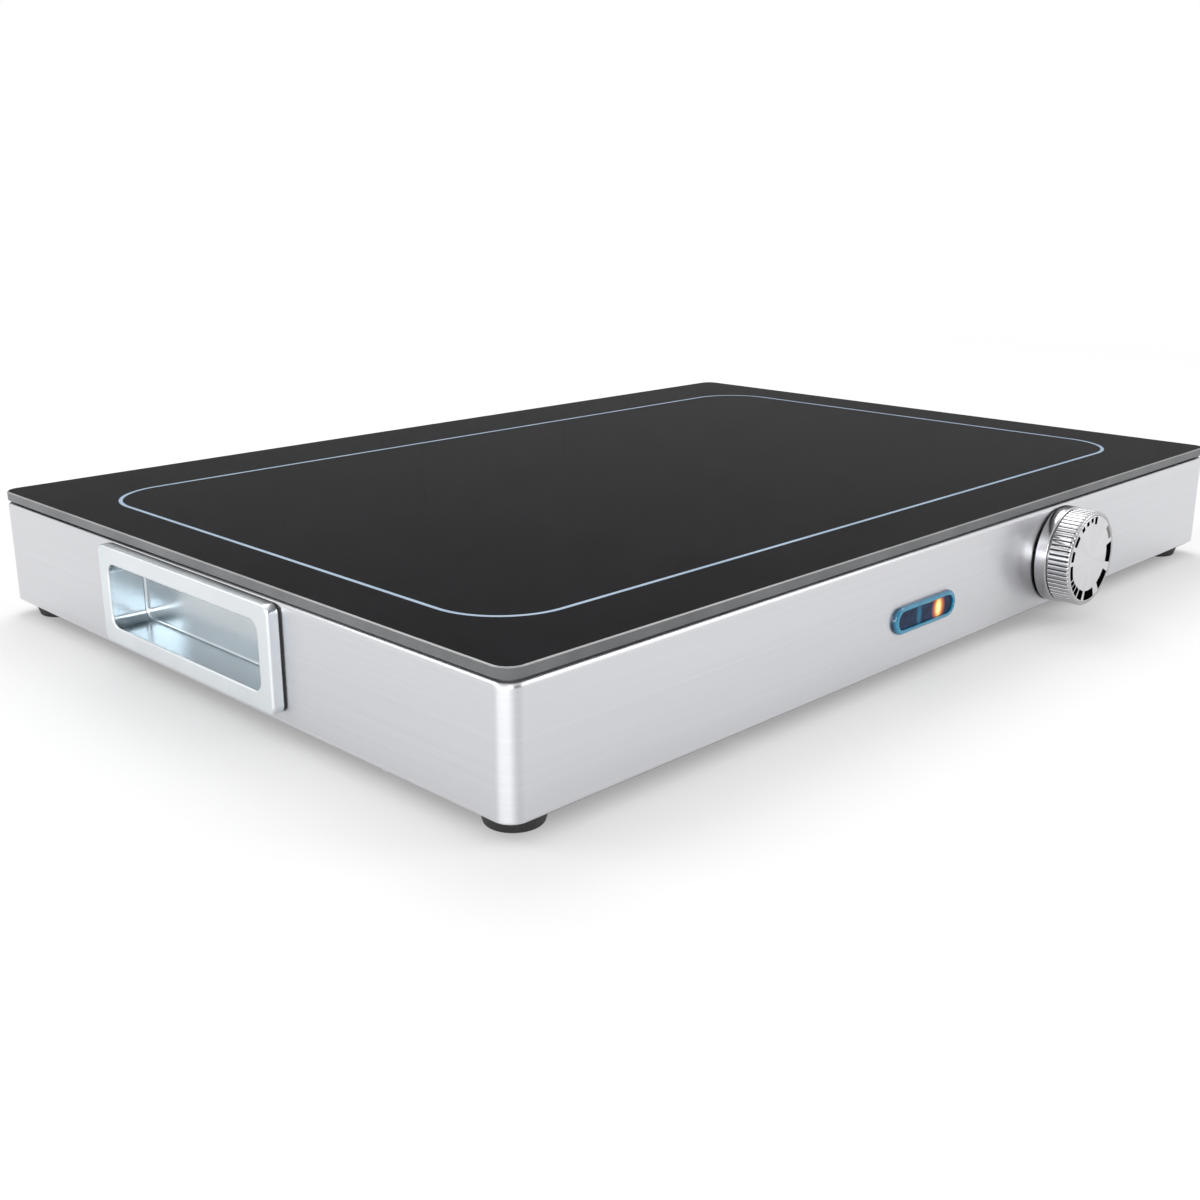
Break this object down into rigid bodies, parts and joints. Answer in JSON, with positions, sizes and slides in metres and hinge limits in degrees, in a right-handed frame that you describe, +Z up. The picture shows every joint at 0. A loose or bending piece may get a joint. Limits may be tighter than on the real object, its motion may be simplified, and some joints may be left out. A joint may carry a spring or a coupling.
{
  "type": "electric food warmer tray",
  "caption": "Low rectangular warming tray with a flat glass top on a brushed steel housing, recessed side handles, a ribbed temperature knob and a pilot light.",
  "frame": {"origin": "centre of the whole object's footprint, on the surface that it stands on", "axes": "+X along the front towards the knob, +Y from front to back, +Z up"},
  "size_m": [0.572, 0.4148, 0.0657],
  "materials": {
    "steel": "brushed along the length",
    "base_steel": "satin black",
    "black_glass": "black glass-ceramic, polished",
    "seal": "matt black silicone",
    "rubber": "matt black",
    "zinc": "zinc plated",
    "pearl_chrome": "satin chrome",
    "knob_metal": "bright, finely brushed",
    "dial": "spun disc with a black printed ramp",
    "black_plastic": "moulded",
    "blue_lens": "tinted clear",
    "dark_lens": "tinted clear",
    "amber": "lit lamp",
    "blue_lamp": "unlit lamp",
    "aluminium": "rolled",
    "galvanised": "galvanised sheet",
    "mica": "pressed mica",
    "wool": "mineral wool felt",
    "ribbon": "resistance alloy",
    "copper": "drawn copper",
    "brass": "stamped",
    "ceramic": "glazed",
    "bakelite": "moulded"
  },
  "bodies": {
    "tray": {"base_plate": "base_steel", "base_screws": "zinc", "bulb_clips": "galvanised", "capillary_tube": "copper", "cross_bars": "galvanised", "earth_nut": "zinc", "earth_stud": "zinc", "element_tails": "brass", "feet": "rubber", "foot_nuts": "zinc", "foot_screws": "zinc", "glass_plate": "black_glass", "glass_seal": "seal", "handle_cup_left": "pearl_chrome", "handle_cup_right": "pearl_chrome", "handle_gasket_left": "seal", "handle_gasket_right": "seal", "handle_screws": "zinc", "handle_strap_left": "galvanised", "handle_strap_right": "galvanised", "heat_shield": "galvanised", "heat_spreader": "aluminium", "heating_element": "ribbon", "housing_shell": "steel", "indicator_bezel": "blue_lens", "indicator_body": "black_plastic", "indicator_window": "dark_lens", "inlet_body": "black_plastic", "inlet_nuts": "zinc", "inlet_pins": "brass", "inlet_screws": "zinc", "insulation_mat": "wool", "lamp_amber": "amber", "lamp_blue": "blue_lamp", "mica_lower": "mica", "mica_upper": "mica", "sensing_bulb": "copper", "terminal_block": "ceramic", "thermal_cutout": "ceramic", "thermostat_frame": "galvanised", "thermostat_screws": "zinc", "thermostat_switch": "bakelite", "thermostat_tabs": "brass"},
    "knob": {"knob_body": "knob_metal", "knob_face": "dial", "knob_hub": "black_plastic", "thermostat_shaft": "brass"}
  },
  "joints": [
    {"name": "knob_turn", "type": "hinge", "parent": "tray", "child": "knob", "pos_m": [0.0993, -0.1884, 0.0342], "axis": [0, 1, 0], "range_deg": [0, 285]}
  ]
}
